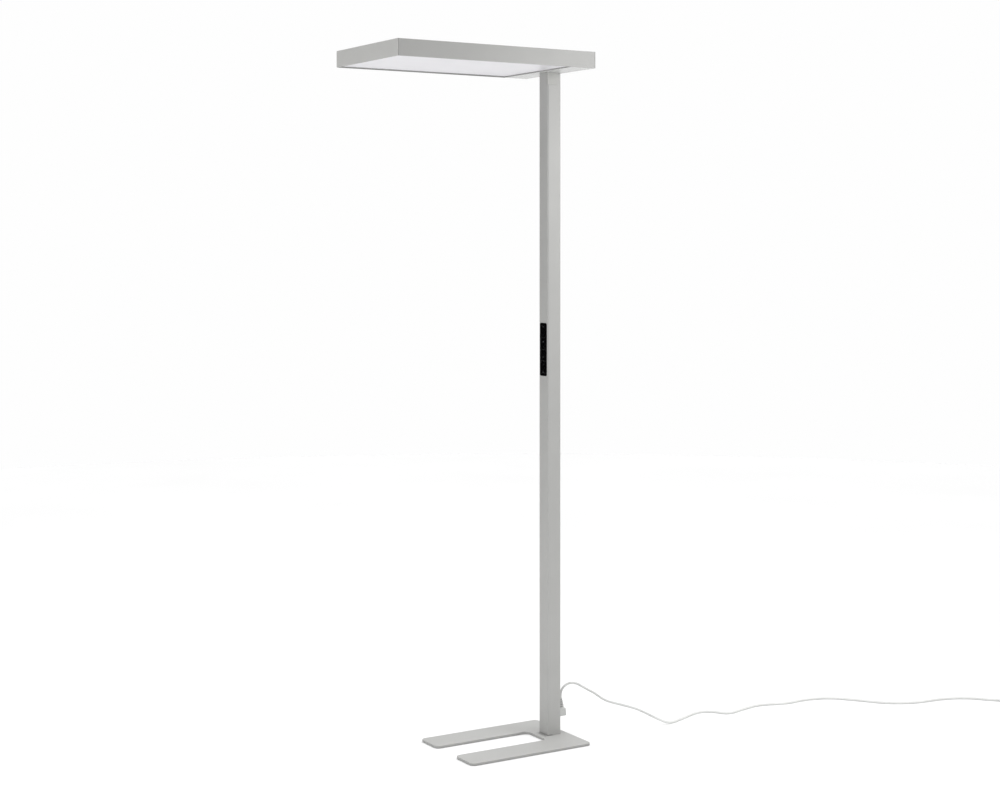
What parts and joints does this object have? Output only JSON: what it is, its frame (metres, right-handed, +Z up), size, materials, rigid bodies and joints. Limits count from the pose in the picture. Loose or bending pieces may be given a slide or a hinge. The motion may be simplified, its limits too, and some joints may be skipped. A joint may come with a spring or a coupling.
{
  "type": "office floor lamp",
  "caption": "Floor lamp with a flat rectangular light head on a slim square-section post, a forked steel base plate, a strip of push keys in the post and a plug-in mains lead.",
  "frame": {"origin": "on the floor under the middle of the post", "axes": "+Z up; +X from the post to the back of the lamp, where the mains lead is; the head and the base's prongs reach out along -X"},
  "size_m": [2.2163, 0.6585, 1.95],
  "materials": {
    "silver_coat": "satin silver-grey powder coat",
    "light_coat": "satin light grey powder coat",
    "raw_aluminium": "as extruded",
    "galvanised": "galvanised sheet",
    "zinc_screw": "bright zinc plate",
    "rubber_pad": "matt",
    "black_gloss": "high gloss",
    "black_matte": "matt",
    "grey_plastic": "fine texture",
    "white_plastic": "matt",
    "cable_grey": "soft satin",
    "opal": "translucent opal",
    "clear_acrylic": "polished",
    "white_sheet": "matt",
    "board_white": "solder mask",
    "board_green": "solder mask",
    "nickel": "nickel plate"
  },
  "bodies": {
    "lamp": {"back_rail": "silver_coat", "base_pads": "rubber_pad", "base_plate": "silver_coat", "board_screws": "zinc_screw", "board_socket": "white_plastic", "box_cover": "light_coat", "bracket_studs": "galvanised", "cleat_grubs": "zinc_screw", "coil_tie": "black_matte", "control_board": "board_green", "cord_coil": "cable_grey", "cord_tail": "cable_grey", "corner_cleats": "raw_aluminium", "cover_screws": "zinc_screw", "crossbar": "silver_coat", "downlight_diffuser": "opal", "driver_lead": "cable_grey", "driver_screws": "zinc_screw", "edge_strips": "board_white", "far_rail": "silver_coat", "foot_block": "raw_aluminium", "foot_screws": "zinc_screw", "front_rail": "silver_coat", "head_bracket": "galvanised", "inlet_blades": "nickel", "key_bezel": "black_gloss", "key_switches": "black_matte", "lead_connector": "cable_grey", "led_driver": "white_plastic", "led_leads": "cable_grey", "light_guide": "clear_acrylic", "light_tray": "galvanised", "mains_cord": "cable_grey", "mains_inlet": "grey_plastic", "mains_plug": "cable_grey", "near_rail": "silver_coat", "neck_bolts": "zinc_screw", "neck_plate": "silver_coat", "neck_screws": "zinc_screw", "neck_spigot": "raw_aluminium", "pane_clips": "galvanised", "plug_pins": "nickel", "post": "silver_coat", "post_screws": "zinc_screw", "reflector_sheet": "white_sheet", "signal_cable": "cable_grey", "supply_cable": "cable_grey", "terminal_block": "white_plastic", "top_cover": "silver_coat", "uplight_boards": "board_white", "uplight_pane": "opal"},
    "key_power_cap": {"key_power": "black_gloss"},
    "key_brighter_cap": {"key_brighter": "black_gloss"},
    "key_dimmer_cap": {"key_dimmer": "black_gloss"},
    "key_auto_cap": {"key_auto": "black_gloss"}
  },
  "joints": [
    {"name": "key_power_press", "type": "slide", "parent": "lamp", "child": "key_power_cap", "axis": [1, 0, 0], "range_m": [0, 0.0008], "stiffness_N_per_m": 1500},
    {"name": "key_brighter_press", "type": "slide", "parent": "lamp", "child": "key_brighter_cap", "axis": [1, 0, 0], "range_m": [0, 0.0008], "stiffness_N_per_m": 1500},
    {"name": "key_dimmer_press", "type": "slide", "parent": "lamp", "child": "key_dimmer_cap", "axis": [1, 0, 0], "range_m": [0, 0.0008], "stiffness_N_per_m": 1500},
    {"name": "key_auto_press", "type": "slide", "parent": "lamp", "child": "key_auto_cap", "axis": [1, 0, 0], "range_m": [0, 0.0008], "stiffness_N_per_m": 1500}
  ]
}
